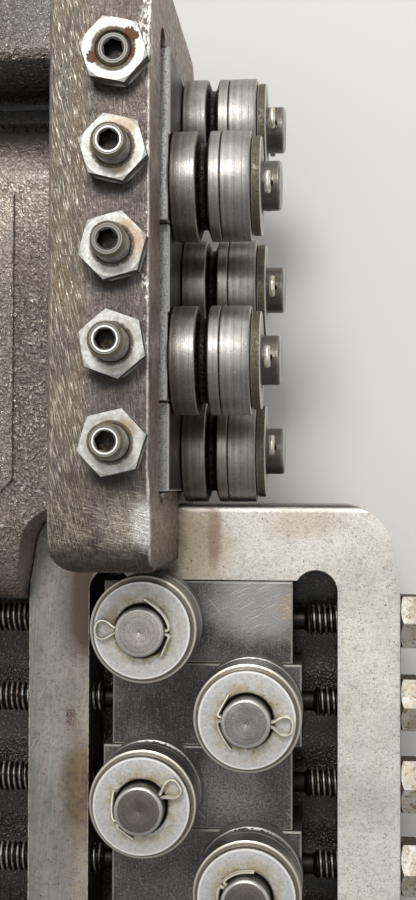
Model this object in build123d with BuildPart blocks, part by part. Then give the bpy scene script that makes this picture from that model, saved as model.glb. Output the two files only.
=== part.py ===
from build123d import *
from math import sqrt
import os

os.makedirs("parts", exist_ok=True)

# A roller wire straightener with two like units at right angles to each other.
# The wire runs along Y. The lower unit lies flat and its roller pins point up.
# The upper unit stands on edge behind it and its roller pins point along +X.
# Both are carried by one cast bracket that stands on the floor at Z = 0.
# The origin is the middle of the bracket's four bolt holes, on its bottom face.

# Slides: five in each window, one beside the other
slide_count = 5
slide_pitch = 25.4
slide_gap = 0.3
slide_width = 58.5
slide_depth = 24.8
slide_proud = 1.4
slide_edge = 0.5
pin_offset = 13.9

# Where the slides stand: how far each row of pins is from the wire line
upper_rows = (16.5, 16.5)
lower_rows = (18.3, 12.3)

# Roller pins and washers
pin_diameter = 14.3
pin_seat = 20.0
pin_chamfer = 0.6
pin_end_length = 5.7
cotter_hole = 2.6
cotter_height = 2.0
washer_diameter = 28.6
washer_bore = 14.8
washer_thickness = 2.6
upper_cotter_angles = (158, 173, 173, 175, 169)
lower_cotter_angles = (178, -3, 34, -34, 150)

# Rollers, turned from the solid, with one wire groove and one parting line
roller_diameter = 31.75
roller_back_flange = 7.1
groove_width = 3.8
groove_floor = 1.2
groove_depth = 3.4
roller_front_flange = 3.0
parting_width = 0.3
parting_depth = 1.0
roller_band = 8.4
roller_chamfer = 0.5
roller_bore_clearance = 0.03
roller_side_gap = 0.35
washer_gap = 0.3

# Frames
frame_drop = 10.7
frame_depth = 27.2
frame_width = 115.8
window_width = 77.3
channel_width = 13.4
channel_overrun = 3.3
upper_end_bar = 21.6
lower_end_bar = 23.1
upper_corner = 11.0
lower_corner = 14.4
corner_taper = 4.5
corner_taper_length = 27.0
end_back_radius = 7.0
end_front_radius = 2.0
side_back_radius = 2.0
side_front_radius = 0.8
frame_lap = 17.4
lap_clearance = 0.3

# Adjusting screws with a dog point, and their jam nuts
screw_diameter = 9.525
screw_depth = 9.1
screw_clearance = 0.06
screw_chamfer = 1.0
dog_diameter = 6.2
dog_length = 3.5
dog_seat_depth = 2.5
dog_seat_clearance = 0.2
socket_size = 4.76
socket_depth = 5.0
nut_size = 15.9
nut_thickness = 5.7
nut_chamfer_slope = 0.6
hexagon_ratio = 3
upper_near_ends = (0.3, 7.0, 8.0, 10.5, 9.8)
upper_far_ends = (7.5, 5.0, 6.5, 5.5, 7.0)
lower_right_ends = (7.5, 9.0, 6.0, 8.0, 7.0)
lower_left_ends = (25.5, 27.0, 24.0, 26.5, 25.0)
upper_near_nut_turns = (48, 46, 15, 40, 13)
upper_far_nut_turns = (10, 35, 52, 20, 5)
lower_right_nut_turns = (0, 2, -2, 1, 30)

# Bracket: a hollow cast base under the lower unit and an upright behind the upper one
floor_clearance = 6.7
shelf_width = 34.0
slab_thickness = 12.0
wall_thickness = 10.0
upright_rise = 14.0
upright_end = 12.0
nose_radius = 30.0
nose_reach = 29.75
recess_start = 50.9
recess_length = 10.5
recess_depth = 25.8
recess_back_slope = 2.5
recess_front_slope = 12.0
recess_radius = 4.0
scoop_radius = 16.0
ledge_rise = 6.0
ledge_radius = 3.0
pad_margin = 34.6
pad_start = -64.0
pad_end = 24.6
pad_rise = 1.5
pad_chamfer = 4.0
bolt_inset = 16.0
bolt_boss = 24.0
bolt_hole = 8.5
bolt_hole_depth = 18.0
casting_corner = 6.0
cavity_corner = 5.0
casting_edge = 2.0

# Sizes that follow from the ones above
window_length = slide_count * slide_pitch + slide_gap
slide_length = slide_pitch - slide_gap
slide_face = slide_proud - frame_drop
roller_bottom = slide_face + roller_side_gap
roller_top = (roller_bottom + roller_back_flange + groove_width + roller_front_flange
              + parting_width + roller_band)
washer_bottom = roller_top + washer_gap
washer_top = washer_bottom + washer_thickness
pin_top = washer_top + pin_end_length
screw_level = -frame_drop - screw_depth
upper_frame_length = window_length + 2 * upper_end_bar
lower_frame_length = window_length + 2 * lower_end_bar
unit_spacing = (lower_frame_length + upper_frame_length) / 2 - frame_lap
wire_height = frame_width / 2 + nut_thickness + max(upper_far_ends) + floor_clearance
wire_x = shelf_width / 2
base_width = frame_width + shelf_width
base_length = lower_frame_length
seat_height = wire_height - frame_drop - frame_depth
upright_face = wire_x - frame_drop - frame_depth
upright_left = -base_width / 2
upright_top = wire_height + upright_rise
upright_start = base_length / 2
upright_centre = (upright_left + upright_face) / 2
upright_stop = unit_spacing + upper_frame_length / 2 + upright_end

lower_unit = Plane(origin=(wire_x, 0, wire_height), x_dir=(1, 0, 0), z_dir=(0, 0, 1))
upper_unit = Plane(origin=(wire_x, unit_spacing, wire_height), x_dir=(0, 0, -1), z_dir=(1, 0, 0))


def slide_y(index):
    """Distance of a slide's middle along the wire, the first one furthest along +Y."""
    return slide_pitch * ((slide_count - 1) / 2 - index)


def side_plane(unit, x, y, z=0.0):
    """A sketch plane at a point of a unit, drawn across the unit and up its pins."""
    return Plane(origin=unit.from_local_coords((x, y, z)), x_dir=unit.x_dir, z_dir=-unit.y_dir)


def save(piece, name):
    """Label a finished piece and write it as its own file."""
    piece.part.label = name
    export_step(piece.part, f"parts/{name}.step")


def frame_outline(plane, length, corner, clearance=0.0):
    """A frame's outline: its sides lean in a little before each rounded corner."""
    side, end = frame_width / 2 + clearance, length / 2 + clearance
    shoulder = end - corner_taper_length
    with BuildSketch(plane) as outline:
        with BuildLine():
            Polyline((side, shoulder), (side - corner_taper, end), (corner_taper - side, end),
                     (-side, shoulder), (-side, -shoulder), (corner_taper - side, -end),
                     (side - corner_taper, -end), (side, -shoulder), close=True)
        make_face()
        for row in (-1, 0):
            fillet(outline.vertices().group_by(Axis.Y)[row], corner)
    return outline.sketch


def window_frame(unit, end_bar, corner, stepped):
    """A cast frame: a window for the slides with a screw channel down each side."""
    length = window_length + 2 * end_bar
    with BuildPart() as frame:
        extrude(frame_outline(unit.offset(-frame_drop), length, corner), amount=-frame_depth)
        # The ends seen from the side are rounded more at the back than in front
        with BuildSketch(Plane(origin=unit.origin, x_dir=unit.y_dir, z_dir=unit.x_dir)):
            with BuildLine():
                front, back = -frame_drop, -frame_drop - frame_depth
                FilletPolyline((0, front), (-length / 2, front), (-length / 2, back), (0, back),
                               radius=(end_front_radius, end_back_radius))
                FilletPolyline((0, front), (length / 2, front), (length / 2, back), (0, back),
                               radius=(end_front_radius, end_back_radius))
            make_face()
        extrude(amount=frame_width, both=True, mode=Mode.INTERSECT)
        # The long edges are broken by hand, more at the back than in front
        with BuildSketch(side_plane(unit, 0, 0)):
            with BuildLine():
                side = frame_width / 2
                FilletPolyline((0, front), (-side, front), (-side, back), (0, back),
                               radius=(side_front_radius, side_back_radius))
                FilletPolyline((0, front), (side, front), (side, back), (0, back),
                               radius=(side_front_radius, side_back_radius))
            make_face()
        extrude(amount=length, both=True, mode=Mode.INTERSECT)
        with BuildSketch(unit.offset(-frame_drop)):
            Rectangle(window_width - channel_width, window_length)
            with Locations((window_width / 2 - channel_width / 2, 0),
                           (channel_width / 2 - window_width / 2, 0)):
                SlotOverall(window_length + 2 * channel_overrun, channel_width, rotation=90)
        extrude(amount=-frame_depth, mode=Mode.SUBTRACT)
        with BuildSketch(Plane(origin=unit.origin, x_dir=unit.y_dir, z_dir=unit.x_dir)):
            with Locations(*[(slide_y(i), screw_level) for i in range(slide_count)]):
                Circle(screw_diameter / 2 + screw_clearance)
        extrude(amount=frame_width, both=True, mode=Mode.SUBTRACT)
        if stepped:
            # This frame's end is stepped to stand on the lower frame's end bar
            with BuildSketch(Plane.XY.offset(wire_height - frame_drop)):
                with Locations((wire_x, base_length / 2 + lap_clearance)):
                    Rectangle(frame_width, base_length, align=(Align.CENTER, Align.MAX))
            extrude(amount=-frame_width, mode=Mode.SUBTRACT)
    return frame


def slide_block(unit, x, y, side):
    """A slide: a flat block with a bore for its pin and a seat for each screw's point."""
    with BuildPart() as block:
        with BuildSketch(unit.offset(slide_face)):
            with Locations((x, y)):
                Rectangle(slide_width, slide_length)
        extrude(amount=-slide_depth)
        chamfer(block.faces().sort_by(Axis(unit.origin, unit.z_dir))[-1].edges(), slide_edge)
        with BuildSketch(unit.offset(slide_face)):
            with Locations((x + side * pin_offset, y)):
                Circle(pin_diameter / 2)
        extrude(amount=-pin_seat, mode=Mode.SUBTRACT)
        for way in (-1, 1):
            seat = Plane(origin=unit.from_local_coords((x + way * slide_width / 2, y, screw_level)),
                         x_dir=unit.y_dir, z_dir=unit.x_dir * way)
            with BuildSketch(seat):
                Circle(dog_diameter / 2 + dog_seat_clearance)
            extrude(amount=-dog_seat_depth, mode=Mode.SUBTRACT)
    return block


def roller_pin(unit, x, y, cotter_angle):
    """A pin pressed into its slide, with the washer that keeps the roller on."""
    r = pin_diameter / 2
    with BuildPart() as pin:
        with BuildSketch(side_plane(unit, x, y)):
            with BuildLine():
                Polyline((0, slide_face - pin_seat), (r, slide_face - pin_seat),
                         (r, pin_top - pin_chamfer), (r - pin_chamfer, pin_top), (0, pin_top),
                         close=True)
            make_face()
        revolve(axis=Axis(unit.from_local_coords((x, y, 0)), unit.z_dir))
        cross = Plane(origin=unit.from_local_coords((x, y, washer_top + cotter_height)),
                      x_dir=unit.z_dir,
                      z_dir=unit.x_dir.rotate(Axis((0, 0, 0), unit.z_dir), cotter_angle))
        with BuildSketch(cross):
            Circle(cotter_hole / 2)
        extrude(amount=pin_diameter, both=True, mode=Mode.SUBTRACT)
        with BuildSketch(unit.offset(washer_bottom)):
            with Locations((x, y)):
                Circle(washer_diameter / 2)
                Circle(washer_bore / 2, mode=Mode.SUBTRACT)
        extrude(amount=washer_thickness)
    return pin


def roller(unit, x, y):
    """A turned roller with one wire groove, free to turn on its pin."""
    r = roller_diameter / 2
    bore = pin_diameter / 2 + roller_bore_clearance
    groove = roller_bottom + roller_back_flange
    slope = (groove_width - groove_floor) / 2
    parting = groove + groove_width + roller_front_flange
    c = roller_chamfer
    with BuildPart() as wheel:
        with BuildSketch(side_plane(unit, x, y)):
            with BuildLine():
                Polyline((bore, roller_bottom), (r - c, roller_bottom), (r, roller_bottom + c),
                         (r, groove), (r - groove_depth, groove + slope),
                         (r - groove_depth, groove + slope + groove_floor), (r, groove + groove_width),
                         (r, parting), (r - parting_depth, parting),
                         (r - parting_depth, parting + parting_width), (r, parting + parting_width),
                         (r, roller_top - c), (r - c, roller_top), (bore, roller_top), close=True)
            make_face()
        revolve(axis=Axis(unit.from_local_coords((x, y, 0)), unit.z_dir))
    return wheel


def slide_screws(unit, x, y, left_end, right_end):
    """The two screws of one slide, each from its seat in the slide to its outer end."""
    r, dog = screw_diameter / 2, dog_diameter / 2
    centre = unit.from_local_coords((0, y, screw_level))
    with BuildPart() as screws:
        for way, end in ((-1, left_end), (1, right_end)):
            seat = x * way + slide_width / 2
            tip, shoulder, outer = seat - dog_seat_depth, seat + dog_length, end
            with BuildSketch(side_plane(unit, 0, y, screw_level)):
                with BuildLine():
                    Polyline((way * tip, 0), (way * tip, dog), (way * shoulder, dog),
                             (way * shoulder, r), (way * (outer - screw_chamfer), r),
                             (way * outer, r - screw_chamfer), (way * outer, 0), close=True)
                make_face()
            revolve(axis=Axis(centre, unit.x_dir))
            face = Plane(origin=unit.from_local_coords((way * outer, y, screw_level)),
                         x_dir=unit.y_dir, z_dir=unit.x_dir * way)
            with BuildSketch(face):
                RegularPolygon(socket_size / 2, 6, major_radius=False)
            extrude(amount=-socket_depth, mode=Mode.SUBTRACT)
    return screws


def jam_nuts(unit, way, turns):
    """Five jam nuts against one side of a frame, each left at its own angle."""
    flat, corner = nut_size / 2, nut_size / sqrt(hexagon_ratio)
    bevel = (corner - flat) * nut_chamfer_slope
    with BuildPart() as nuts:
        for i, turn in enumerate(turns):
            seat = Plane(origin=unit.from_local_coords((way * frame_width / 2, slide_y(i), screw_level)),
                         x_dir=unit.y_dir, z_dir=unit.x_dir * way)
            with BuildSketch(seat):
                RegularPolygon(flat, 6, major_radius=False, rotation=turn)
                Circle(screw_diameter / 2 + screw_clearance, mode=Mode.SUBTRACT)
            extrude(amount=nut_thickness)
            # The outer face's corners are turned off to a circle as wide as the flats
            with BuildSketch(Plane(origin=seat.origin, x_dir=seat.x_dir, z_dir=-seat.y_dir)):
                with BuildLine():
                    Polyline((flat, nut_thickness), (corner, nut_thickness),
                             (corner, nut_thickness - bevel), close=True)
                make_face()
            revolve(axis=Axis(seat.origin, seat.z_dir), mode=Mode.SUBTRACT)
    return nuts


# Frames
lower_frame = window_frame(lower_unit, lower_end_bar, lower_corner, stepped=False)
save(lower_frame, "lower_frame")
upper_frame = window_frame(upper_unit, upper_end_bar, upper_corner, stepped=True)
save(upper_frame, "upper_frame")

# Slides, pins, rollers and screws of both units
units = (("upper", upper_unit, upper_rows, 1, upper_cotter_angles,
          upper_near_ends, upper_far_ends, nut_thickness, nut_thickness),
         ("lower", lower_unit, lower_rows, -1, lower_cotter_angles,
          lower_left_ends, lower_right_ends, 0, nut_thickness))
for name, unit, rows, first_side, angles, left_ends, right_ends, left_nut, right_nut in units:
    for i in range(slide_count):
        side = first_side if i % 2 == 0 else -first_side
        pin_x = side * rows[i % 2]
        block_x = pin_x - side * pin_offset
        y = slide_y(i)
        number = i + 1
        block = slide_block(unit, block_x, y, side)
        save(block, f"{name}_slide_{number}")
        pin = roller_pin(unit, pin_x, y, angles[i])
        save(pin, f"{name}_pin_{number}")
        wheel = roller(unit, pin_x, y)
        save(wheel, f"{name}_roller_{number}")
        screws = slide_screws(unit, block_x, y, frame_width / 2 + left_nut + left_ends[i],
                              frame_width / 2 + right_nut + right_ends[i])
        save(screws, f"{name}_screws_{number}")

# Jam nuts
upper_near_nuts = jam_nuts(upper_unit, -1, upper_near_nut_turns)
save(upper_near_nuts, "upper_near_jam_nuts")
upper_far_nuts = jam_nuts(upper_unit, 1, upper_far_nut_turns)
save(upper_far_nuts, "upper_far_jam_nuts")
lower_right_nuts = jam_nuts(lower_unit, 1, lower_right_nut_turns)
save(lower_right_nuts, "lower_jam_nuts")

# Bracket
bolt_places = [(x, y) for x in (bolt_inset - base_width / 2, base_width / 2 - bolt_inset)
               for y in (bolt_inset - base_length / 2, base_length / 2 - bolt_inset)]
with BuildPart() as bracket:
    # Base under the lower frame, with the frame's own corners where it carries it
    seat = Plane(origin=(wire_x, 0, seat_height))
    extrude(frame_outline(seat, base_length, lower_corner), amount=-seat_height)
    with BuildSketch(Plane.XY):
        with Locations((upright_left, 0)):
            Rectangle(shelf_width + frame_width / 2, base_length, align=(Align.MIN, Align.CENTER))
    extrude(amount=seat_height)
    fillet(bracket.edges().filter_by(Axis.Z).group_by(Axis.X)[0].sort_by(Axis.Y)[0], casting_corner)
    # Upright behind the upper frame: its rounded nose reaches round the lower frame's corner,
    # and its top has a scooped recess in front of the ledge at its far end
    recess_y = unit_spacing + recess_start
    recess_floor = upright_top - recess_depth
    ledge_top = upright_top + ledge_rise
    nose_y = upright_start - nose_reach
    with BuildSketch(Plane.YZ.offset(upright_left)):
        with BuildLine():
            FilletPolyline((nose_y, 0), (nose_y, upright_top),
                           (recess_y - recess_front_slope, upright_top), (recess_y, recess_floor),
                           (recess_y + recess_length, recess_floor),
                           (recess_y + recess_length + recess_back_slope, ledge_top),
                           (upright_stop, ledge_top),
                           radius=(nose_radius, scoop_radius, recess_radius, recess_radius,
                                   ledge_radius))
            Polyline((upright_stop, ledge_top), (upright_stop, 0), (nose_y, 0))
        make_face()
    extrude(amount=upright_face - upright_left)
    far_end = bracket.faces().sort_by(Axis.Y)[-1]
    fillet(far_end.edges().filter_by(Axis.Z), casting_corner)
    pocket = frame_outline(seat, base_length, lower_corner, lap_clearance)
    extrude(pocket, amount=frame_width, mode=Mode.SUBTRACT)
    outer = bracket.faces().sort_by(Axis.X)[0]
    fillet(outer.edges().filter_by(Axis.Y).sort_by(Axis.Z)[-2:], casting_edge)
    # Machined pad on the upright's top
    pad_right = upright_left + pad_margin
    pad_low, pad_high = unit_spacing + pad_start, unit_spacing + pad_end
    with BuildSketch(Plane.XY.offset(upright_top)):
        with BuildLine():
            Polyline((upright_left + casting_edge, pad_low), (pad_right - pad_chamfer, pad_low),
                     (pad_right, pad_low + pad_chamfer), (pad_right, pad_high),
                     (upright_left + casting_edge, pad_high), close=True)
        make_face()
    extrude(amount=pad_rise)
    # Cavities, open below
    with BuildSketch(Plane.XY):
        RectangleRounded(base_width - 2 * wall_thickness, base_length - 2 * wall_thickness, cavity_corner)
        with Locations(*bolt_places):
            Circle(bolt_boss / 2, mode=Mode.SUBTRACT)
    extrude(amount=seat_height - slab_thickness, mode=Mode.SUBTRACT)
    with BuildSketch(Plane.XY):
        with Locations((upright_centre, (upright_start + upright_stop) / 2)):
            RectangleRounded(upright_face - upright_left - 2 * wall_thickness,
                             upright_stop - upright_start - 2 * wall_thickness, cavity_corner)
    extrude(amount=upright_top - recess_depth - slab_thickness, mode=Mode.SUBTRACT)
    # Tapped holes for the bolts that hold the base down
    with BuildSketch(Plane.XY):
        with Locations(*bolt_places):
            Circle(bolt_hole / 2)
    extrude(amount=bolt_hole_depth, mode=Mode.SUBTRACT)
save(bracket, "bracket")
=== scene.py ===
import math

import bpy
from mathutils import Matrix, Vector


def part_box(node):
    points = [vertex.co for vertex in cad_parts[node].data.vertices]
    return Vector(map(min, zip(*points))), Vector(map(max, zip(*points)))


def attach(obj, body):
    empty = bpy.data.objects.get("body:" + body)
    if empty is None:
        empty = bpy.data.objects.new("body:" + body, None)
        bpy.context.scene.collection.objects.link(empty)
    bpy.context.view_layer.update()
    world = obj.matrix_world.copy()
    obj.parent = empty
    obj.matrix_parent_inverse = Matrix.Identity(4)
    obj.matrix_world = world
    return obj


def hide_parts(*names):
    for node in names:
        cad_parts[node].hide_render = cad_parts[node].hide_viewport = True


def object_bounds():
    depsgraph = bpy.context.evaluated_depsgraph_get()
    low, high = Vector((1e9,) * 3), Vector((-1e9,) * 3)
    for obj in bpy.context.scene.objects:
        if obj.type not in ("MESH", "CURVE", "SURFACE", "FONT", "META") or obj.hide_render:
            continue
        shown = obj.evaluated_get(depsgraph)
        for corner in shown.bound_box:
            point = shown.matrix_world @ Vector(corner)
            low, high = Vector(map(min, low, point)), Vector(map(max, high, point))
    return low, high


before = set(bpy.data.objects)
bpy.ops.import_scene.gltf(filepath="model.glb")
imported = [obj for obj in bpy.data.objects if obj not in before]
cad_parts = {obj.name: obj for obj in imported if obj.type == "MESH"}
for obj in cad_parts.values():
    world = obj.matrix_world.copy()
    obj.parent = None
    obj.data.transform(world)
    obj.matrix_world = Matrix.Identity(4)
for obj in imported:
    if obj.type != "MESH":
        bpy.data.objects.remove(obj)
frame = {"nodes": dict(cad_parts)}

bl_info = {
    "name": "Wire straightener finish",
    "version": (1, 0, 0),
    "blender": (4, 5, 0),
    "location": "View3D > Sidebar > Straightener",
    "description": "Dresses the wire straightener with its threads, pins, nuts and metal finishes",
    "category": "Object",
}

MM = 0.001
TURN = 2 * math.pi
FLAT, EDGE = "lower", "upper"
NUMBERS = range(1, 6)
NUMBERED = [(unit, number) for unit in (FLAT, EDGE) for number in NUMBERS]
CAD_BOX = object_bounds()
UP, DOWN = Vector((0, 0, 1)), Vector((0, 0, -1))
LEFT, RIGHT = Vector((-1, 0, 0)), Vector((1, 0, 0))
X_AXIS, Z_AXIS = 0, 2
# A hexagon's half width across the flats, as a share of its corner radius
HEXAGON = math.cos(TURN / 12)

# Which way each unit's roller pins point, and which ways its two rows of screws stand out. Each
# screw was left at another angle: so many degrees from one to the next, and more in one row
PIN_AXIS = {FLAT: UP, EDGE: RIGHT}
SCREW_WAYS = {FLAT: (LEFT, RIGHT), EDGE: (UP, DOWN)}
MORE_SPIN = (20, 0)
EACH_SPIN = 47
# How far a screw's turned shape and its socket are turned from its thread, in radians
OFF_THREAD = (0.03, 0.05)

# Edges up to these angles are smoothed, in degrees: on turned pieces, threads, nuts and wires
TURNED_EDGE, THREAD_EDGE, NUT_EDGE, WIRE_EDGE = 32, 28, 25, 40

# The angle of each cotter pin's eye round its roller pin, how far its two legs are bent, and
# how far their ends stand off the pin, in millimetres
COTTERS = {
    FLAT: ((178, 48, 86, 2.1), (-5, 52, 66, 2.1), (32, 64, 46, 1.9), (-34, 72, 63, 1.2),
           (150, 70, 60, 1.6)),
    EDGE: ((176, 40, 35, 2.1), (187, 45, 30, 2.1), (182, 35, 40, 2.1), (180, 40, 30, 2.1),
           (172, 30, 40, 2.1)),
}

# The angle at which each jam nut was left
NUT_TURNS = {
    "upper_near_jam_nuts": (48, 46, 15, 40, 13),
    "upper_far_jam_nuts": (10, 35, 52, 20, 5),
    "lower_jam_nuts": (0, 2, -2, 1, 30),
}

# Flakes of rust and spots of old oil on the near jam nuts: which nut, how far right and back
# of its middle, and how wide, in millimetres
NUT_RUST = ((1, 4.6, 3.3, 3.2), (1, -5.2, -2.0, 2.8), (1, 4.4, -1.0, 2.4))
NUT_OIL = ((2, 2.5, 5.0, 5.5), (3, 5.0, 0.5, 6.0), (3, 3.5, 4.5, 3.5), (5, 3.5, 3.5, 4.5),
           (2, 1.0, -5.5, 3.0))

# The upper unit's screws whose socket rims carry a painted highlight, and the lower unit's
# pins that are browned
RIM_HIGHLIGHT_SCREWS = (2, 4, 5)
BROWNED_PINS = (3, 4)

# The photograph's camera, solved from the circles and edges of the part: it looks almost
# straight down on the part, and the image is 416 by 900 pixels
IMAGE_HEIGHT = 900
SENSOR = 36.0
FOCAL_PIXELS = 1288.0
CAMERA_PLACE = (0.05113, 0.09265, 0.46642)
CAMERA_TURN = (0.0286, 0.0890, 0.0031)

# A soft key from above and beyond the part, a ceiling panel, a panel behind the part and weak
# fills on each side: where each lamp hangs from the part's middle, its width and its power
LAMPS = {
    "key": ((-0.1, 0.75, 1.25), 0.4, 12.4),
    "ceiling": ((0.0, 0.1, 1.7), 1.6, 6.2),
    "back": ((0.0, 1.25, 0.55), 0.9, 4.5),
    "fill_left": ((-1.1, 0.2, 0.5), 0.8, 1.5),
    "fill_right": ((1.1, 0.2, 0.5), 0.8, 1.5),
}
FLOOR_WIDTH = 8
SKY, SKY_STRENGTH = "#fbfcff", 0.35


def hex_colour(code):
    """Turns an sRGB hex colour into the linear colour that the shaders use."""
    parts = [int(code[i:i + 2], 16) / 255 for i in (1, 3, 5)]
    linear = [p / 12.92 if p <= 0.04045 else ((p + 0.055) / 1.055) ** 2.4 for p in parts]
    return (*linear, 1.0)


def colour(name, description, code):
    """A colour that a user can change."""
    return bpy.props.FloatVectorProperty(name=name, description=description, subtype="COLOR",
                                         size=4, min=0, max=1, default=hex_colour(code))


def length(name, description, millimetres):
    """A length that a user can change."""
    return bpy.props.FloatProperty(name=name, description=description, unit="LENGTH",
                                   precision=5, min=0, default=millimetres * MM)


class StraightenerSizes(bpy.types.PropertyGroup):
    """Sizes of the pieces that are modelled here."""

    thread_pitch: length("Thread pitch", "Distance from one thread to the next", 1.75)
    thread_depth: length("Thread depth", "Height of a thread", 0.85)
    screw_diameter: length("Screw diameter", "Outside diameter of a thread", 9.5)
    point_diameter: length("Point diameter", "Diameter of a screw's plain point", 6.2)
    point_length: length("Point length", "Plain point of a screw, from tip to thread", 6.0)
    point_seat: length("Point seat", "How deep a point sits in its slide", 2.5)
    socket_size: length("Socket size", "Across the flats of a screw's socket", 4.76)
    socket_depth: length("Socket depth", "Depth of a screw's socket", 4.6)
    nut_size: length("Nut size", "Across the flats of a jam nut", 15.9)
    nut_bore: length("Nut bore", "Hole through a jam nut", 9.65)
    pin_diameter: length("Pin diameter", "Diameter of a roller pin", 14.3)
    pin_chamfer: length("Pin chamfer", "Chamfer round a pin's end", 0.7)
    pin_end: length("Pin end", "How far a pin stands out of its washer", 5.7)
    washer_diameter: length("Washer diameter", "Outside diameter of a washer", 28.6)
    washer_bore: length("Washer bore", "Hole in a washer", 15.6)
    washer_thickness: length("Washer thickness", "Thickness of a washer", 2.6)
    cotter_height: length("Cotter height", "Cotter hole above the washer", 2.0)
    cotter_hole: length("Cotter hole", "Hole for the cotter pin", 2.6)
    cotter_wire: length("Cotter wire", "Thickness of one leg of a cotter pin", 1.15)
    cotter_width: length("Cotter width", "Width of a cotter pin's wire", 1.7)
    cotter_eye: length("Cotter eye", "Length of a cotter pin's eye", 5.9)


class StraightenerColours(bpy.types.PropertyGroup):
    """Colours that the finishes share."""

    casting: colour("Casting", "Sand-cast iron skin", "#84766a")
    # Also laid as painted glints on the sand grains, besides the lighter iron of the pad and the
    # file marks
    casting_light: colour("Casting highlights", "Rubbed tops of the sand grains", "#b8ad9f")
    # Also laid as painted shade in the bracket's recess and on its low base, in front of the upper
    # nuts and round the rollers' bores
    oil: colour("Oil and dirt", "Black oil and dirt in hollows", "#1b1714")
    worn: colour("Worn iron", "Handled cast iron", "#5d534d")
    worn_dark: colour("Handled iron", "Dark patina on handled iron", "#4f453d")
    bright: colour("Bright edge", "Bare metal on a rubbed edge", "#e2ddd3")
    ground: colour("Ground iron", "Surface-ground cast iron", "#ded9cf")
    ground_dark: colour("Dull ground iron", "Ground iron under an oil film", "#7f7a72")
    rust: colour("Rust", "Thin brown rust and varnished oil", "#6b452b")
    varnish: colour("Varnish", "Old oil dried to a yellow film", "#a48a5f")
    slide: colour("Slide steel", "Ground steel of the slides", "#64625f")
    slide_dark: colour("Oily slide steel", "Slide steel under oil", "#3c3b3a")
    roller: colour("Roller steel", "Hardened and turned steel", "#9d9a95")
    roller_dark: colour("Blued steel", "Darker bands on the rollers", "#5d5955")
    washer: colour("Washer", "Plain steel of the washers", "#c5c4c0")
    pin: colour("Pin steel", "Turned steel of the pins", "#8f8b85")
    screw: colour("Screw steel", "Black oxide on the screws", "#35322f")
    nut: colour("Nut zinc", "Bright zinc plate", "#d6d4cd")
    cotter: colour("Cotter wire", "Bright steel wire", "#e6e1d2")
    floor: colour("Floor", "Plain pale floor", "#d8d6d1")


def sizes():
    return bpy.context.scene.straightener_sizes


def colours():
    return bpy.context.scene.straightener_colours


def tone(name):
    """A colour for a shader, from its hex code or from the name of a shared one."""
    return hex_colour(name) if name.startswith("#") else getattr(colours(), name)


def mm(x, y):
    """A move to the right and to the back, in millimetres."""
    return Vector((x, y, 0)) * MM


# Patterns and finishes

class Mask:
    """One value of a finish at each point of a piece. A mask goes from 0 to 1."""

    def __init__(self, finish, socket):
        self.finish = finish
        self.socket = socket

    def work(self, other, operation):
        """This mask and another one worked together, held between 0 and 1."""
        made = self.finish.add("Math", {}, {0: self, 1: other}, operation=operation,
                               use_clamp=True)
        return Mask(self.finish, made[0])

    def __mul__(self, other):
        return self.work(other, "MULTIPLY")

    def __or__(self, other):
        return self.work(other, "MAXIMUM")

    def __add__(self, other):
        return self.work(other, "ADD")

    def __sub__(self, other):
        return self.work(other, "SUBTRACT")

    def band(self, start, end, **settings):
        """A mask that grows from 0 to 1 as this value goes from start to end."""
        made = self.finish.add("MapRange", {"From Min": start, "From Max": end},
                               {"Value": self}, **settings)
        return Mask(self.finish, made[0])

    def span(self, origin, start, end):
        """A mask that grows from 0 to 1 between two places, in millimetres from an origin."""
        return self.band(origin + start * MM, origin + end * MM)


def any_of(masks):
    """The strongest of several masks."""
    strongest, *others = masks
    for mask in others:
        strongest |= mask
    return strongest


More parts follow.
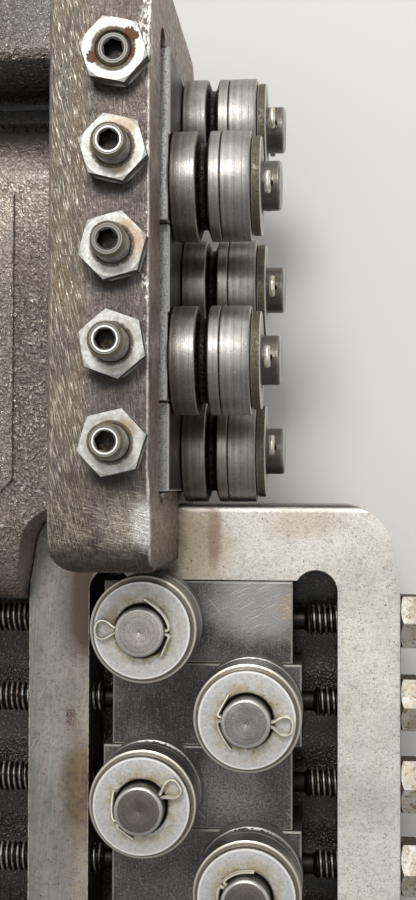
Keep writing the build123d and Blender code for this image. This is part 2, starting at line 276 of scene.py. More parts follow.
class Finish:
    """A material in the making. Its patterns have real sizes in millimetres; lines and grains
    finer than about 0.3 mm would not show in the render and are drawn that coarse."""

    def __init__(self, name, metallic, **sockets):
        self.material = bpy.data.materials.new(name)
        self.material.use_nodes = True
        self.tree = self.material.node_tree
        self.shader = self.tree.nodes["Principled BSDF"].inputs
        self.shader["Metallic"].default_value = metallic
        for socket, value in sockets.items():
            self.shader[socket.replace("_", " ")].default_value = value
        self.at = self.add("TexCoord")["Object"]

    def add(self, kind, values=None, links=None, **settings):
        """Adds a shader node with its settings, the values of its inputs and what feeds them, and
        gives back its outputs."""
        made = self.tree.nodes.new(f"ShaderNode{kind}")
        for name, value in settings.items():
            setattr(made, name, value)
        for name, value in (values or {}).items():
            made.inputs[name].default_value = value
        for name, source in (links or {}).items():
            self.link(source, made.inputs[name])
        return made.outputs

    def link(self, source, socket):
        """Feeds an input from a mask or from another node's output."""
        self.tree.links.new(source.socket if isinstance(source, Mask) else source, socket)

    def masks(self, outputs):
        """Outputs of a node, ready to be worked with."""
        return [Mask(self, output) for output in outputs]

    def places(self):
        """The X, Y and Z of each point."""
        return self.masks(self.add("SeparateXYZ", {}, {0: self.at}))

    def blotches(self, size, low, high, detail=4.0, stretch=(1, 1, 1), turn=0.0):
        """Irregular patches of a real size: 0 up to the low level of the noise, 1 from the high
        one. They can be stretched, and turned round the Z axis."""
        laid = self.add("Mapping", {"Rotation": (0, 0, turn)}, {"Vector": self.at})
        scale = [1 / (size * MM * part) for part in stretch]
        sized = self.add("VectorMath", {1: scale}, {0: laid[0]}, operation="MULTIPLY")
        noise = self.add("TexNoise", {"Scale": 1.0, "Detail": detail, "Roughness": 0.6},
                         {"Vector": sized[0]})
        return Mask(self, noise["Fac"]).band(low, high)

    def pebbles(self, size):
        """Rounded grains of a real size: 1 on top of each grain and 0 between them."""
        cells = self.add("TexVoronoi", {"Scale": 1 / (size * MM), "Smoothness": 0.5},
                         {"Vector": self.at}, feature="SMOOTH_F1")
        return Mask(self, cells["Distance"]).band(0.62, 0.12, interpolation_type="SMOOTHSTEP")

    def stain(self, centre, reach, strength, squash=(1, 1, 1)):
        """A ragged stain round one place, as wide as its reach."""
        reach *= MM
        ragged = self.add("TexNoise", {"Scale": 2.5 / reach, "Detail": 5.0}, {"Vector": self.at})
        away = self.add("VectorMath", {1: centre}, {0: self.at}, operation="SUBTRACT")
        shaped = self.add("VectorMath", {1: squash}, {0: away[0]}, operation="MULTIPLY")
        far = self.add("VectorMath", {}, {0: shaped[0]}, operation="LENGTH")
        worked = self.add("Math", {1: 0.4 * reach}, {0: ragged["Fac"]}, operation="MULTIPLY")
        edge = self.add("Math", {}, {0: far["Value"], 1: worked[0]}, operation="ADD")
        made = self.add("MapRange", {"From Min": 1.1 * reach, "From Max": 0.5 * reach,
                                     "To Max": strength},
                        {"Value": edge[0]}, interpolation_type="SMOOTHSTEP")
        return Mask(self, made[0])

    def edges(self, reach):
        """A mask of the edges of a squared piece: where a rounded normal leaves all three axes."""
        rounded = self.add("Bevel", {"Radius": reach * MM}, samples=6)
        sized = self.add("VectorMath", {}, {0: rounded[0]}, operation="ABSOLUTE")
        parts = self.add("SeparateXYZ", {}, {0: sized[0]})
        return any_of(self.masks(parts)).band(0.985, 0.85)

    def facing(self, axis, start, end):
        """A mask of the faces that look along one axis."""
        normal = self.add("NewGeometry")["Normal"]
        parts = self.add("SeparateXYZ", {}, {0: normal})
        return self.masks(parts)[axis].band(start, end)

    def turned(self):
        """The radius from a turned piece's own axis, and the place along that axis."""
        mark = self.add("Attribute", attribute_name="made_at")["Vector"]
        x, y, along = self.masks(self.add("SeparateXYZ", {}, {0: mark}))
        across = self.add("CombineXYZ", {}, {0: x, 1: y})
        radius = self.add("VectorMath", {}, {0: across[0]}, operation="LENGTH")
        return Mask(self, radius["Value"]), along

    def tool_rings(self, radius, along, spacing, low, high):
        """Fine rings left by a cutting tool, some deeper than others."""
        line = self.add("Math", {}, {0: radius, 1: along}, operation="ADD")[0]
        noise = self.add("TexNoise", {"Scale": 1 / (spacing * MM), "Detail": 2.0},
                         {"W": line}, noise_dimensions="1D")
        return Mask(self, noise["Fac"]).band(low, high)

    def coat(self, base, *layers):
        """Lays colours over the base, each one where its mask is: as strong as the mask, or
        growing between two levels of it."""
        under = None
        for mask, name, *levels in layers:
            links = {0: mask.band(*levels) if levels else mask}
            if under:
                links[6] = under
            under = self.add("Mix", {6: tone(base), 7: tone(name)}, links, data_type="RGBA")[2]
        self.link(under, self.shader["Base Color"])

    def gloss(self, mask, low, high):
        """Sets the roughness between two values by a mask."""
        made = self.add("MapRange", {"To Min": low, "To Max": high}, {"Value": mask})
        self.link(made[0], self.shader["Roughness"])

    def tarnish(self, mask, metallic):
        """Takes the metal away where rust or dirt covers it."""
        made = self.add("MapRange", {"To Min": metallic, "To Max": 0.0}, {"Value": mask})
        self.link(made[0], self.shader["Metallic"])

    def relief(self, *heights, rounding=0.0):
        """Raises the surface by each height map in turn, in millimetres, over edges rounded by
        a radius."""
        normal = None
        if rounding:
            normal = self.add("Bevel", {"Radius": rounding * MM}, samples=6)[0]
        for height, depth in heights:
            links = {"Height": height}
            if normal:
                links["Normal"] = normal
            normal = self.add("Bump", {"Distance": depth * MM}, links)[0]
        self.link(normal, self.shader["Normal"])


def sand_cast_iron():
    """Grey iron cast in sand: glossy brown pebbles with painted highlights on their tops and
    painted glints on the grit, painted shade in the recess, on the low base and between the
    pebbles, and a wall painted pale against its shade."""
    iron = Finish("sand_cast_iron", 0.5, Coat_Weight=0.4, Coat_Roughness=0.18)
    # Pebbles of 1.8 mm and grit of 0.8 mm, in clots of 3 mm; smears of 12 mm; areas of 40 mm
    lumps = iron.pebbles(1.8)
    grit = iron.blotches(0.8, 0.36, 0.66, 1.5)
    clots = iron.blotches(3, 0.3, 0.62, 2.0)
    rough = iron.blotches(40, 0.36, 0.56, 1.0)
    smears = iron.blotches(12, 0.35, 0.75)
    # Strokes of a file, 0.6 mm apart, at a slant
    filed = iron.blotches(0.6, 0.5, 0.72, 2.0, (1, 9, 3), -0.75)
    x, y, z = iron.places()
    # The low base and the recess beside the upper frame are painted near black, as painted shade;
    # the pad is machined
    sunk = z.span(0, 70, 41) * iron.facing(Z_AXIS, 0.2, 0.7)
    deep = y.span(0, 187.5, 208.5) * y.span(0, 218.5, 216)
    upper_end = y.span(0, 218.5, 226)
    # The nose is painted darker, as painted shade where the casting curves down
    nose = y.span(0, 80, 56)
    pad = z.span(0, 92.6, 92.9) * iron.facing(Z_AXIS, 0.5, 0.9)
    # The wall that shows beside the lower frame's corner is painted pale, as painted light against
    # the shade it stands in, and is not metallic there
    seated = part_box("lower_frame")[0].x
    wall = iron.facing(Z_AXIS, 0.7, 0.2) * (y.span(0, 105, 95) * y.span(0, 40, 50))
    wall *= x.span(seated, -6, -4) * x.span(seated, 30, 20)
    # The pebbles are coarsest below the middle of the bracket
    coarse = (y.span(0, 150, 120) * y.span(0, 66, 80) | rough) * clots
    # The pebble tops get a painted highlight
    tops = lumps * coarse
    iron.coat(
        "casting",
        (smears, "worn_dark", 0, 2.4),
        # Painted shade between the pebbles, then painted glints on the grit
        (lumps | grit, "#2f2822", 0.55, -0.35),
        (grit, "casting_light", 0.55, 1.8),
        (coarse, "casting_light", 0, 4),
        (tops, "#d6ccc0", 0.32, 0.95),
        (filed, "casting_light", 0.1, 1.3),
        (pad, "casting_light", 0, 4.5),
        (upper_end, "worn_dark", 0, 2.2),
        # Painted light on the pale wall
        (wall, "#b3978a"),
        # Painted shade on the nose
        (nose, "#4a3a32", 0, 2),
        # Painted shade in the recess and on the low base
        (deep, "oil", 0, 1.03),
        (sunk, "oil", 0, 1.22),
        (sunk * grit.band(0.72, 1.3), "#85786b"))
    iron.gloss(smears + deep - tops, 0.20, 0.5)
    iron.tarnish(wall, 0.5)
    iron.relief((tops, 0.95), (grit * rough, 0.36), (grit, 0.14), (filed, 0.08), rounding=0.9)
    return iron


def filed_cast_iron():
    """Cast iron filed by hand and rubbed for years: bronze strokes along its back edge, smooth
    grey-brown round the nuts with painted shadows in front of them, sides painted lighter against
    their shade, painted shade at the lower end with a painted sheen and highlight beside it, and
    chipped bright along its front edge."""
    iron = Finish("filed_cast_iron", 0.55)
    # File strokes 0.3 mm apart and 4 mm long, streaks 0.3 mm apart, pits of 1 mm
    strokes = iron.blotches(0.3, 0.45, 0.62, 3.0, (1, 13, 13), -0.22)
    crossed = iron.blotches(0.4, 0.50, 0.72, 2.0, (1, 10, 10), 0.7)
    streaks = iron.blotches(0.28, 0.42, 0.66, 3.0, (1, 14, 14), -0.05)
    hatched = (iron.blotches(0.4, 0.44, 0.66, 2.0, (1, 7, 7), 0.03)
               | iron.blotches(0.5, 0.46, 0.66, 2.0, (6, 1, 6), 0.25))
    clouds = iron.blotches(5, 0.36, 0.66, 5.0, (1, 1.6, 1))
    pits = iron.blotches(1.1, 0.34, 0.27, 3.0)
    bronze = iron.blotches(9, 0.40, 0.62, 3.0, (1, 3, 1))
    grey = iron.blotches(20, 0.42, 0.6)
    chips = iron.blotches(0.9, 0.44, 0.58, 4.0, (1, 2, 1))
    knocks = iron.blotches(7, 0.50, 0.62, 3.0)
    low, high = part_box("upper_frame")
    x, y = iron.places()[:2]
    top = iron.facing(Z_AXIS, 0.55, 0.9)
    sides = top.band(1, 0)
    back = x.span(low.x, 12.5, 7) * top
    lower_end = y.span(low.y, 26, 16)
    # Painted shade darkens the lower end over its last 11 mm
    shaded_end = y.span(low.y, 11, 1)
    brink = x.span(high.x, -0.95, -0.55) * top
    front = x.span(high.x, -3.0, -0.8) * knocks * top
    # Two places on the front edge were knocked and rubbed bright; the one at the lower end is lit
    # up further as a painted highlight, with a painted sheen beside it
    corner = Vector((high.x, low.y, high.z))
    patch = iron.stain(corner + mm(-1.8, 12), 7, 1.0, (1.3, 0.6, 1))
    knocked = iron.stain(corner + mm(-1.5, 140), 7, 1.0, (1.8, 0.5, 1))
    sheen = iron.stain(corner + mm(-6, 13), 12, 0.75)
    # Painted shadow: a dark patch on the frame in front of each nut, where its shadow falls
    nuts = [Vector((*far_end(f"upper_screws_{number}", UP).xy, high.z)) for number in NUMBERS]
    nut_shadows = any_of(iron.stain(nut + mm(-1.5, -8.5), 5.5, 0.85, (0.6, 1.1, 1)) for nut in nuts)
    iron.coat(
        "worn",
        (grey, "#574e4c", 0, 1.6),
        (clouds, "#3f3731", 0.9, -1),
        (streaks, "#9b9184", 0.2, 2.2),
        (back * bronze, "#7a654b", 0, 1.3),
        (back * crossed, "#3a312a", 0.1, 1.8),
        (back * strokes, "#cdc3b1", 0, 1.2),
        # The sides are painted lighter than the top, as painted light against the shade they lie
        # in
        (sides, "#8f7e70", 0, 1.1),
        (sides * grey.band(0, 1.3), "#6b635d"),
        (sides * clouds.band(0.75, -0.25), "#4d443c"),
        (sides * bronze.band(0.2, 1.8), "#8a6f58"),
        (streaks * top.band(0.5, 0), "#a08f7f", 0.2, 1.8),
        (lower_end * hatched, "#ab9e86", 0.1, 1.8),
        (lower_end * hatched.band(0.5, -0.5), "#3a3128"),
        # Painted shadows in front of the nuts
        (nut_shadows, "oil"),
        (shaded_end, "#2b221a", 0, 1.1),
        (sheen * (strokes | crossed).band(-0.4, 1), "#bdb3a4"),
        (pits, "worn_dark", 0, 1.5),
        (brink * chips.band(-1, 0.8), "#d8cfc2"),
        (front * chips, "bright", 0.12, 0.55),
        (knocked * chips, "bright"),
        # The patch near the lower end is rubbed bright and painted lighter still as a painted
        # highlight
        (patch * (chips + strokes).band(-0.6, 0.5), "bright"))
    iron.gloss(strokes | sheen, 0.48, 0.30)
    iron.relief((streaks, 0.03), (strokes * back, 0.16), (hatched * lower_end, 0.14),
                (clouds, 0.3), (front * chips, -0.15), (pits, -0.12), rounding=0.6)
    return iron


def surface_ground_iron():
    """Iron ground flat on its face: pale, with faint brushed lines, pinholes, brown stains of
    old oil and bright rubbed edges. The faces that weren't ground stay dark."""
    iron = Finish("surface_ground_iron", 0.4)
    # Grain of 0.5 mm, pinholes of 0.8 mm, clouds of 24 mm, and grinding lines 0.5 mm apart,
    # which are finer on the real face and are drawn as coarse as they need to show
    lines = iron.blotches(0.5, 0.35, 0.75, 2.0, (1, 30, 1), 0.06)
    grain = iron.blotches(0.5, 0.3, 0.7)
    mottle = iron.blotches(1.3, 0.34, 0.66, 6.0)
    specks = iron.blotches(0.8, 0.58, 0.68)
    scratches = iron.blotches(0.35, 0.745, 0.80, 1.0, (1, 40, 40), 0.5)
    pinholes = iron.blotches(0.75, 0.32, 0.26, 2.0)
    peppered = iron.blotches(0.42, 0.42, 0.33, 2.0) * iron.blotches(9, 0.40, 0.62, 3.0)
    clouds = iron.blotches(24, 0.40, 0.66)
    areas = iron.blotches(11, 0.42, 0.60, 3.0, (1, 2, 1))
    ragged = iron.blotches(1.8, 0.35, 0.6, 5.0)
    low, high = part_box("lower_frame")
    left, right = Vector((low.x, high.y, high.z)), high
    centre = (left + right) / 2
    x, y = iron.places()[:2]
    left_bar = x.band(centre.x - 22 * MM, low.x + 14 * MM)
    top = iron.facing(Z_AXIS, 0.6, 0.9)
    sides = top.band(1, 0)
    edge = iron.edges(0.6) * top
    # Brown oil has crept from the window over the left bar, darkest near its far end
    beside = x.span(low.x, 9, 17) * x.span(low.x, 22, 19)
    creep = beside * iron.stain(left + mm(16, -30), 24, 1.0, (1, 0.9, 1))
    trace = beside * (y.span(high.y, -40, -75) * ragged)
    smudge = iron.stain(left + mm(16.5, -88), 17, 0.85, (1.9, 0.7, 1))
    fleck = (iron.stain(left + mm(13.5, -66), 3.6, 1.0, (1.3, 0.8, 1))
             * iron.blotches(0.6, 0.45, 0.5, 3.0))
    greenish = x.span(low.x, 6, 0) * left_bar
    # The far bar has stains of its own
    streak = iron.stain(centre + mm(-15, -12), 10, 0.55, (1.7, 0.6, 1))
    upper_stain = iron.stain(centre + mm(-6, -13), 16, 0.55, (0.9, 0.8, 1))
    dripped = iron.stain(centre + mm(0.5, -8), 9, 0.6, (2.6, 0.5, 1))
    corner_stain = iron.stain(right + mm(-30, -5), 14, 0.3, (0.7, 1.6, 1))
    grime = iron.stain(centre + mm(-16, -12), 12, 0.95, (1.2, 0.5, 1)) * ragged.band(-0.8, 1)
    iron.coat(
        "ground",
        (clouds, "ground_dark", 0, 2.6),
        (left_bar, "#7f7771", 0, 1.25),
        (greenish, "#6a6d64", 0, 1.4),
        (left_bar * areas.band(0, 2.2), "#5f615b"),
        (grain, "ground_dark", 0.55, -0.7),
        (mottle, "#6d665d", 0.5, -1.2),
        (left_bar * mottle.band(0.6, -0.8), "#655c55"),
        (specks, "#7b6c59", 0, 2.2),
        (peppered, "#5f574d", 0, 1.5),
        (lines, "bright", 0.3, 6),
        (scratches, "bright", 0, 1.8),
        (upper_stain, "varnish"),
        (dripped, "#83644a"),
        (streak, "#96704f"),
        (smudge, "#4f3d30"),
        (fleck, "#523d31"),
        (corner_stain, "varnish"),
        (trace, "varnish", 0, 2.6),
        (creep, "#57443a", 0, 0.75),
        (grime, "#3f362e"),
        (pinholes, "oil", 0, 1.4),
        (edge * ragged, "bright", 0.05, 0.7),
        (sides, "worn_dark"),
        (sides * mottle.band(0.35, 1.8), "#8a7d70"),
        (sides * areas.band(0.2, 1.5), "#332b25"))
    iron.gloss(clouds, 0.42, 0.52)
    iron.relief((lines, 0.012), (grain, 0.03), (pinholes, -0.12), rounding=0.4)
    return iron


def ground_slide_steel():
    """Flat-ground tool steel: dark grey and speckled under oil, scuffed pale at one corner, with
    a few long scratches."""
    steel = Finish("ground_slide_steel", 0.7)
    # Speckle of 0.6 mm, oil clouds of 14 mm, single scratches, and brush lines 0.4 mm apart,
    # which are finer on the real steel and are drawn as coarse as they need to show
    speckle = steel.blotches(0.6, 0.35, 0.7, 3.0)
    clouds = steel.blotches(14, 0.40, 0.62)
    brushed = steel.blotches(0.4, 0.45, 0.8, 2.0, (1, 16, 16))
    scuffs = steel.blotches(0.35, 0.62, 0.78, 1.0, (1, 22, 22), 1.1)
    scratches = steel.blotches(0.4, 0.745, 0.80, 1.0, (1, 55, 55), -0.7)
    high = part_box("lower_slide_1")[1]
    bright_end = steel.stain(high + mm(-10, -7), 17, 0.9, (0.7, 1, 1))
    rusty = steel.stain(high + mm(-1, -8), 5, 0.5)
    oiled = steel.stain(far_end("lower_slide_2", UP) + mm(-8, 0), 20, 0.5)
    wiped = steel.stain(far_end("lower_slide_3", UP) + mm(10, 0), 16, 0.6)
    # The upper unit's slides are bare on top; their faces behind the rollers are painted dark, as
    # painted shade
    upper = steel.places()[1].band(high.y + 2 * MM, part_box("upper_slide_5")[0].y - 2 * MM)
    bare, shaded_faces = (upper * steel.facing(axis, 0.6, 0.9) for axis in (Z_AXIS, X_AXIS))
    steel.coat(
        "slide",
        (clouds, "slide_dark", 0, 1.3),
        (oiled, "oil"),
        (wiped, "#8f8d89"),
        (bare, "#bcbebb", 0, 1.1),
        (shaded_faces, "#2c2826", 0, 1.3),
        (speckle, "oil", 0.5, -0.35),
        (speckle, "ground", 0.7, 2.2),
        (brushed, "bright", 0.2, 9),
        (bright_end, "#9c9a96", 0, 1.1),
        (rusty, "varnish"),
        (scuffs.band(0, 1.5) * bright_end, "bright"),
        (scratches, "bright", 0, 1.6),
        (steel.edges(0.2), "bright", 0.2, 1.7))
    steel.gloss(clouds, 0.46, 0.36)
    steel.relief((speckle, 0.035), (brushed, 0.012), rounding=0.2)
    return steel


def turned_roller_steel(rim_radius, width):
    """Hardened steel, turned to a polish: satin with fine rings, a black groove full of grease
    and bright rubbed rims."""
    steel = Finish("turned_roller_steel", 0.95)
    radius, along = steel.turned()
    # Tool rings 0.3 mm and 1.2 mm apart, coarser than the real ones so that they show, and
    # wear of 5 mm
    rings = steel.tool_rings(radius, along, 0.3, 0.3, 0.8)
    broad = steel.tool_rings(radius, along, 1.2, 0.35, 0.7)
    wear = steel.blotches(5, 0.35, 0.7)
    scuffs = steel.blotches(0.8, 0.56, 0.76, 3.0)
    groove = radius.span(rim_radius, -0.35, -1.1) * along.span(width, -0.7, -1.2)
    rim = radius.span(rim_radius, -0.3, -0.08) * steel.blotches(1.5, 0.35, 0.6)
    grease = steel.blotches(1.1, 0.52, 0.62, 3.0)
    # Painted shade: the face round the bore, seen through the gap round the pin, is painted near
    # black
    hub = radius.band(0.64 * rim_radius, 0.56 * rim_radius)
    front = along.span(width, -0.3, -0.1) * radius.band(0.6 * rim_radius, 0.7 * rim_radius)
    turned_edge = front * radius.span(rim_radius, -0.85, -0.6)
    steel.coat(
        "roller",
        (wear, "roller_dark", 0, 2.2),
        (rings, "roller_dark", 0.3, 1.7),
        (broad, "#bdb8b0", 0.2, 2),
        (scuffs, "bright", 0, 4),
        (front, "#6a6355", 0, 1.2),
        (front * scuffs, "varnish", 0, 1.5),
        (turned_edge, "#cdc7b8"),
        (hub, "oil"),
        (groove, "oil", 0, 1.04),
        (groove * grease, "#3b2d22"))
    steel.gloss(wear | rim, 0.34, 0.46)
    steel.relief((rings, 0.025), (scuffs, 0.02), (groove * grease, 0.3))
    return steel


def punched_washer_steel(bore_radius, rim_radius):
    """Rolled and punched steel: smooth blue-grey, with yellow oil round the pin, a pitted golden
    rim and a painted highlight round its rounded outer edge."""
    steel = Finish("punched_washer_steel", 0.65)
    radius, _ = steel.turned()
    # Mottle of 1 mm, runs of oil of 4 mm, and specks, dots and pits of less than 1 mm
    mottle = steel.blotches(1.1, 0.3, 0.7, 5.0)
    specks = steel.blotches(0.8, 0.36, 0.29, 3.0)
    runs = steel.blotches(3.6, 0.34, 0.60)
    dots = steel.blotches(0.7, 0.58, 0.66, 3.0)
    near_pin = radius.span(bore_radius, 5, 1)
    close = radius.span(bore_radius, 1.4, 0)
    # A painted highlight on the washer's rounded outer edge
    edge_highlight = radius.span(rim_radius, -0.85, -0.6) * radius.span(rim_radius, -0.15, -0.3)
    side = radius.span(rim_radius, -0.12, -0.04)
    pitted = side * steel.blotches(0.9, 0.50, 0.62)
    steel.coat(
        "washer",
        (mottle, "#908f8a", 0.8, -0.9),
        (near_pin * runs, "#a99b78", 0, 1.05),
        (near_pin * dots, "#6a5634", 0, 1.6),
        (close * runs, "#63543a", 0.1, 1.2),
        (specks, "worn_dark", 0, 1.5),
        (edge_highlight, "#f0eee6", 0, 1.4),
        (side, "#534a38", 0, 1.1),
        (pitted, "#57492f", 0, 1.4))
    steel.gloss(runs, 0.40, 0.54)
    steel.relief((mottle, 0.02), (pitted, -0.08))
    return steel


def turned_pin_steel(pin_radius):
    """Turned steel pin: brown-grey, with tool rings on its end and a painted highlight on its rim.
    """
    steel = Finish("turned_pin_steel", 0.8)
    radius, along = steel.turned()
    # Tool rings 0.8 mm apart, coarser than the real ones so that they show, grain and specks
    # of 0.5 mm, patina of 6 mm
    rings = steel.tool_rings(radius, along, 0.8, 0.3, 0.8)
    grain = steel.blotches(0.45, 0.3, 0.7, 3.0)
    patina = steel.blotches(6, 0.35, 0.65)
    specks = steel.blotches(0.6, 0.37, 0.29, 3.0)
    # The rim of the pin's end is painted light, as a painted highlight on its chamfer
    rim = radius.span(pin_radius, -1.15, -0.8) * along.span(0, -0.7, -0.3)
    flank = along.span(0, -0.6, -1.4)
    browned = any_of(steel.stain(far_end(f"lower_pin_{number}", UP), 14, 0.9)
                     for number in BROWNED_PINS)
    rubbed = steel.stain(far_end("lower_pin_1", UP), 14, 0.55)
    steel.coat(
        "pin",
        (patina, "#5b544e", 0, 1.7),
        (rubbed, "#b7ada5"),
        (rings, "#4f4944", 0.4, -0.9),
        (rings, "#c4bfb7", 0.6, 2.6),
        (grain, "#5d5650", 0.5, -0.8),
        (grain, "#c4bfb7", 0.6, 2),
        (specks, "worn_dark", 0, 1.5),
        (browned, "#574b45", 0, 1.25),
        (flank, "#4d463f", 0, 1.3),
        (rim, "#d5cfc6", 0, 1.4))
    steel.gloss(patina, 0.42, 0.30)
    steel.relief((rings, 0.03), (grain, 0.03))
    return steel


def black_oxide_steel(crest_radius):
    """Black oxide screws: black with oil in the threads, bare grey steel near the wrenched end,
    on the crests and on the rims of the socket, a painted highlight on the inner rim of some
    sockets, and brown dirt deep in the socket."""
    steel = Finish("black_oxide_steel", 0.75)
    radius, along = steel.turned()
    # Worn patches of 2.5 mm and rust of 1.6 mm
    patchy = steel.blotches(2.5, 0.35, 0.62)
    rusty = steel.blotches(1.6, 0.54, 0.66, 5.0)
    crest = radius.span(crest_radius, -0.3, -0.1) * patchy
    handled = along.span(0, -14, -7)
    root = radius.span(crest_radius, -0.3, -0.6) * along.span(0, -1.2, -1.8)
    inside = radius.span(0, 2.95, 2.8) * along.span(0, -0.3, -1.2)
    # The screw's end is dark between the socket's rim and the rim of the thread
    end = along.span(0, -0.25, -0.02)
    inner = end * radius.span(0, 3.4, 3.2)
    rim = inner | end * radius.span(0, 3.45, 3.7)
    shoulder = radius.span(0, 3.7, 3.9) * along.span(0, -1.6, -1.2)
    # A painted highlight on the inner rim of some sockets
    rim_highlights = any_of(steel.stain(far_end(f"upper_screws_{number}", UP), 14, 1.0)
                      for number in RIM_HIGHLIGHT_SCREWS)
    steel.coat(
        "screw",
        (handled, "#7b7772", 0, 1.15),
        (crest, "#b3afa7", 0, 1.15),
        (rusty, "rust", 0, 2.4),
        (root, "oil"),
        (shoulder, "#75694f", 0, 1.3),
        (end, "#4f4c49", 0, 1.1),
        (rim, "#8a867f", 0, 1.2),
        (inner * rim_highlights, "#efebe3"),
        (inside, "oil", 0, 1.06),
        (inside * rusty, "#4f3c28"))
    steel.gloss(patchy | end, 0.34, 0.52)
    steel.relief((patchy, 0.02))
    return steel


def zinc_plated_steel(nut_radius):
    """Bright zinc plate: pale and a little scratched, yellowed in places, dull and painted dark on
    the sides as painted shade, and with a dark ring round the screw that is part brown rust and
    part painted shade."""
    zinc = Finish("zinc_plated_steel", 0.35)
    radius, along = zinc.turned()
    low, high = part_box("upper_near_jam_nuts")
    # Yellowed areas of 7 mm, dull patches of 1.6 mm, scratches 0.4 mm apart
    yellow = zinc.blotches(7, 0.42, 0.62)
    dull = zinc.blotches(1.6, 0.35, 0.7, 5.0)
    worn = zinc.blotches(0.4, 0.5, 0.7, 2.0, (1, 8, 8), 0.6)
    ragged = zinc.blotches(1.4, 0.42, 0.58)
    # The sides are painted dark, as painted shade, and made dull
    side = along.span(high.z - low.z, -0.15, -0.4) * zinc.facing(Z_AXIS, 0.8, 0.4)

    def marks(spots):
        for number, right, back, reach in spots:
            middle = far_end(f"upper_screws_{number}", UP) + mm(right, back)
            middle.z = high.z
            yield zinc.stain(middle, reach, 1.0)

    torn = zinc.blotches(0.8, 0.35, 0.65, 5.0).band(0, 1.4)
    flakes = (any_of(marks(NUT_RUST)) - torn).band(0.10, 0.25)
    oil = any_of(marks(NUT_OIL))
    # The lower unit's nuts are stained and freckled with rust
    row = zinc.places()[0].span(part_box("lower_jam_nuts")[0].x, -0.2, 0)
    stained = row * zinc.blotches(5, 0.38, 0.62)
    freckles = row * zinc.blotches(1.3, 0.56, 0.64)
    # The dark ring round the screw is part rust and old oil and part painted shade where the screw
    # meets the nut
    wavy = radius.band(0.80 * nut_radius, 0.60 * nut_radius) + ragged
    ring = radius.band(0.76 * nut_radius, 0.70 * nut_radius) * wavy
    dirt = radius.band(0.97 * nut_radius, 0.85 * nut_radius) * yellow
    rusty = flakes | ring
    zinc.coat(
        "nut",
        (dull, "#8a867e", 0.9, -0.7),
        (row, "#7c7466", 0, 3),
        (stained, "#96835f", 0, 1.6),
        (dirt, "#a0937a", 0, 2),
        (worn, "#7f7a70", 0, 4),
        # Painted shade on the sides
        (side, "#3a332b", 0, 1.05),
        (row * side.band(0, 0.8), "#463b2c"),
        (freckles, "#6a4526", 0, 1.3),
        (oil, "#9a7d56", 0, 1.5),
        (ring, "#5a4c36", 0, 1.1),
        (flakes, "#63391f", 0, 1.05))
    zinc.gloss(rusty | side, 0.40, 0.85)
    zinc.tarnish(rusty | side, 0.35)
    zinc.relief((dull, 0.03), (worn, -0.02), (rusty, 0.08), (rusty * ragged, 0.1))
    return zinc


def drawn_wire_steel():
    """Drawn steel wire of the cotter pins: bright, a little yellow with oil."""
    steel = Finish("drawn_wire_steel", 0.8)
    # Films of oil 2 mm wide
    film = steel.blotches(2.2, 0.4, 0.7)
    steel.coat("cotter", (film, "varnish", 0, 2))
    steel.gloss(film, 0.3, 0.42)
    steel.relief((film, 0.015))
    return steel


# Modelling

def take(*pieces):
    """Leaves these pieces selected and nothing else, with the first of them active."""
    if bpy.context.object and bpy.context.object.mode != "OBJECT":
        bpy.ops.object.mode_set(mode="OBJECT")
    bpy.ops.object.select_all(action="DESELECT")
    for piece in pieces:
        piece.select_set(True)
    if pieces:
        bpy.context.view_layer.objects.active = pieces[0]


def modify(kind, **settings):
    """Adds a modifier with its settings to the active piece, and applies it."""
    bpy.ops.object.modifier_add(type=kind)
    made = bpy.context.object.modifiers[-1]
    for name, value in settings.items():
        setattr(made, name, value)
    bpy.ops.object.modifier_apply(modifier=made.name)


def edit_all():
    """Opens the active piece, or goes on with it, and selects all of it."""
    bpy.ops.object.mode_set(mode="EDIT")
    bpy.ops.mesh.select_all(action="SELECT")


def extrude(move):
    """Extrudes what is selected."""
    bpy.ops.mesh.extrude_region_move(TRANSFORM_OT_translate={"value": move})


def draw_profile(name, outline):
    """Draws an outline of (radius, height) points by extruding one vertex along it."""
    take()
    bpy.ops.mesh.primitive_plane_add(size=MM, location=(0, 0, 0))
    piece = bpy.context.object
    piece.name = name
    edit_all()
    bpy.ops.mesh.merge(type="CENTER")
    bpy.ops.transform.translate(value=(outline[0][0], 0, outline[0][1]))
    for (x, z), (next_x, next_z) in zip(outline, outline[1:]):
        extrude((next_x - x, 0, next_z - z))
    return piece


def smooth(piece, angle):
    """Smooths the shallow edges of the active piece, and stores where each of its points was
    made, so that turned marks follow it."""
    bpy.ops.object.shade_smooth_by_angle(angle=math.radians(angle))
    marks = piece.data.attributes
    mark = marks.get("made_at") or marks.new("made_at", "FLOAT_VECTOR", "POINT")
    mark.data.foreach_set("vector", [c for v in piece.data.vertices for c in v.co])
    return piece


def close_shape(piece, angle):
    """Merges doubles, turns all faces outwards and smooths the shallow edges."""
    edit_all()
    bpy.ops.mesh.remove_doubles(threshold=0.002 * MM)
    bpy.ops.mesh.normals_make_consistent(inside=False)
    bpy.ops.object.mode_set(mode="OBJECT")
    return smooth(piece, angle)


def lathe(name, outline, steps=72):
    """Turns an outline of (radius, height) points round the Z axis."""
    piece = draw_profile(name, outline)
    edit_all()
    bpy.ops.mesh.spin(steps=steps, angle=TURN, center=(0, 0, 0), axis=(0, 0, 1))
    return close_shape(piece, TURNED_EDGE)


def cut(piece, tool, operation):
    """Works a piece with a tool shape, and removes the tool."""
    take(piece)
    modify("BOOLEAN", object=tool, operation=operation, solver="EXACT")
    bpy.data.objects.remove(tool)


